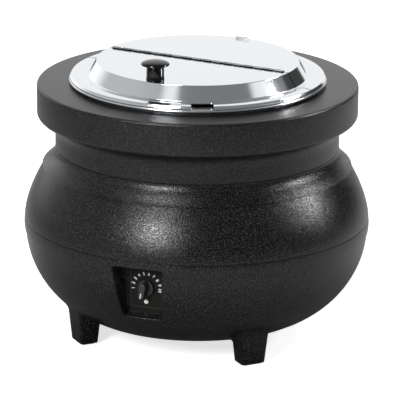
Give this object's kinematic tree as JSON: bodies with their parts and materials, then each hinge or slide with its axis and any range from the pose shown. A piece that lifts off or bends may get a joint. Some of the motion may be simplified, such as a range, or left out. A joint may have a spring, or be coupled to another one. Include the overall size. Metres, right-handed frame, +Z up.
{
  "type": "soup kettle",
  "caption": "Countertop soup kettle: pot-bellied moulded body on short feet, heated water well, lift-out inset pot, hinged split lid with ladle notch, and a recessed heat dial.",
  "frame": {"origin": "centre of the kettle on the floor, under the soles of its feet", "axes": "+Z up along the kettle's axis, front with the control recess at -Y, +X to the kettle's left as it faces you"},
  "size_m": [0.3858, 0.3858, 0.3309],
  "materials": {
    "body_resin": "moulded charcoal resin with a fine pebbled texture",
    "well_steel": "spun stainless, satin",
    "lid_steel": "stainless, polished",
    "hinge_steel": "stainless, drawn and rolled",
    "zinc_steel": "zinc plated",
    "heater_aluminium": "cast, as made",
    "element_sheath": "heat-browned sheath",
    "mineral_fibre": "pressed mineral fibre",
    "phenolic": "gloss black phenolic",
    "dial_print": "printed olive-black polyester",
    "dial_resin": "fine moulded texture",
    "pointer_paint": "white hot-stamped line",
    "lamp_lens": "frosted white",
    "control_ceramic": "electrical moulding",
    "copper": "drawn copper",
    "black_moulding": "nylon",
    "pad_rubber": "moulded rubber"
  },
  "bodies": {
    "kettle_base": {"lower_shell": "body_resin", "foot_pads": "pad_rubber", "upper_shell": "body_resin", "collar_ring": "body_resin", "water_well": "well_steel", "well_insulation": "mineral_fibre", "heat_spreader": "heater_aluminium", "heating_element": "element_sheath", "heater_pad": "mineral_fibre", "heat_shield": "zinc_steel", "clamp_stud": "zinc_steel", "clamp_nuts": "zinc_steel", "base_plate": "zinc_steel", "base_screws": "zinc_steel", "dial_plate": "dial_print", "thermostat_case": "control_ceramic", "bush_nut": "zinc_steel", "sensing_bulb": "copper", "capillary_tube": "copper", "pilot_lamp_lens": "lamp_lens", "pilot_lamp_body": "control_ceramic", "overheat_cutout": "control_ceramic", "terminal_block": "control_ceramic", "cord_gland": "black_moulding", "gland_nut": "black_moulding"},
    "thermostat_dial": {"thermostat_shaft": "zinc_steel", "control_knob": "dial_resin", "knob_pointer": "pointer_paint"},
    "inset": {"inset_pot": "lid_steel"},
    "lid_rear": {"lid_rear_half": "lid_steel", "stop_tab": "hinge_steel", "rear_hinge_leaf": "hinge_steel", "hinge_pin": "hinge_steel"},
    "lid_front": {"lid_front_half": "lid_steel", "front_hinge_leaf": "hinge_steel", "lid_knob": "phenolic", "knob_screw": "zinc_steel"}
  },
  "joints": [
    {"name": "thermostat_turn", "type": "hinge", "parent": "kettle_base", "child": "thermostat_dial", "pos_m": [0, -0.1647, 0.095], "axis": [0, 1, 0], "range_deg": [0, 270]},
    {"name": "inset_lift", "type": "slide", "parent": "kettle_base", "child": "inset", "axis": [0, 0, 1], "range_m": [0, 0.23]},
    {"name": "lid_lift", "type": "slide", "parent": "inset", "child": "lid_rear", "axis": [0, 0, 1], "range_m": [0, 0.12]},
    {"name": "lid_hinge", "type": "hinge", "parent": "lid_rear", "child": "lid_front", "pos_m": [-0.0003, -0.00198, 0.3102], "axis": [-0.989, 0.1478, 0], "range_deg": [0, 160]}
  ]
}
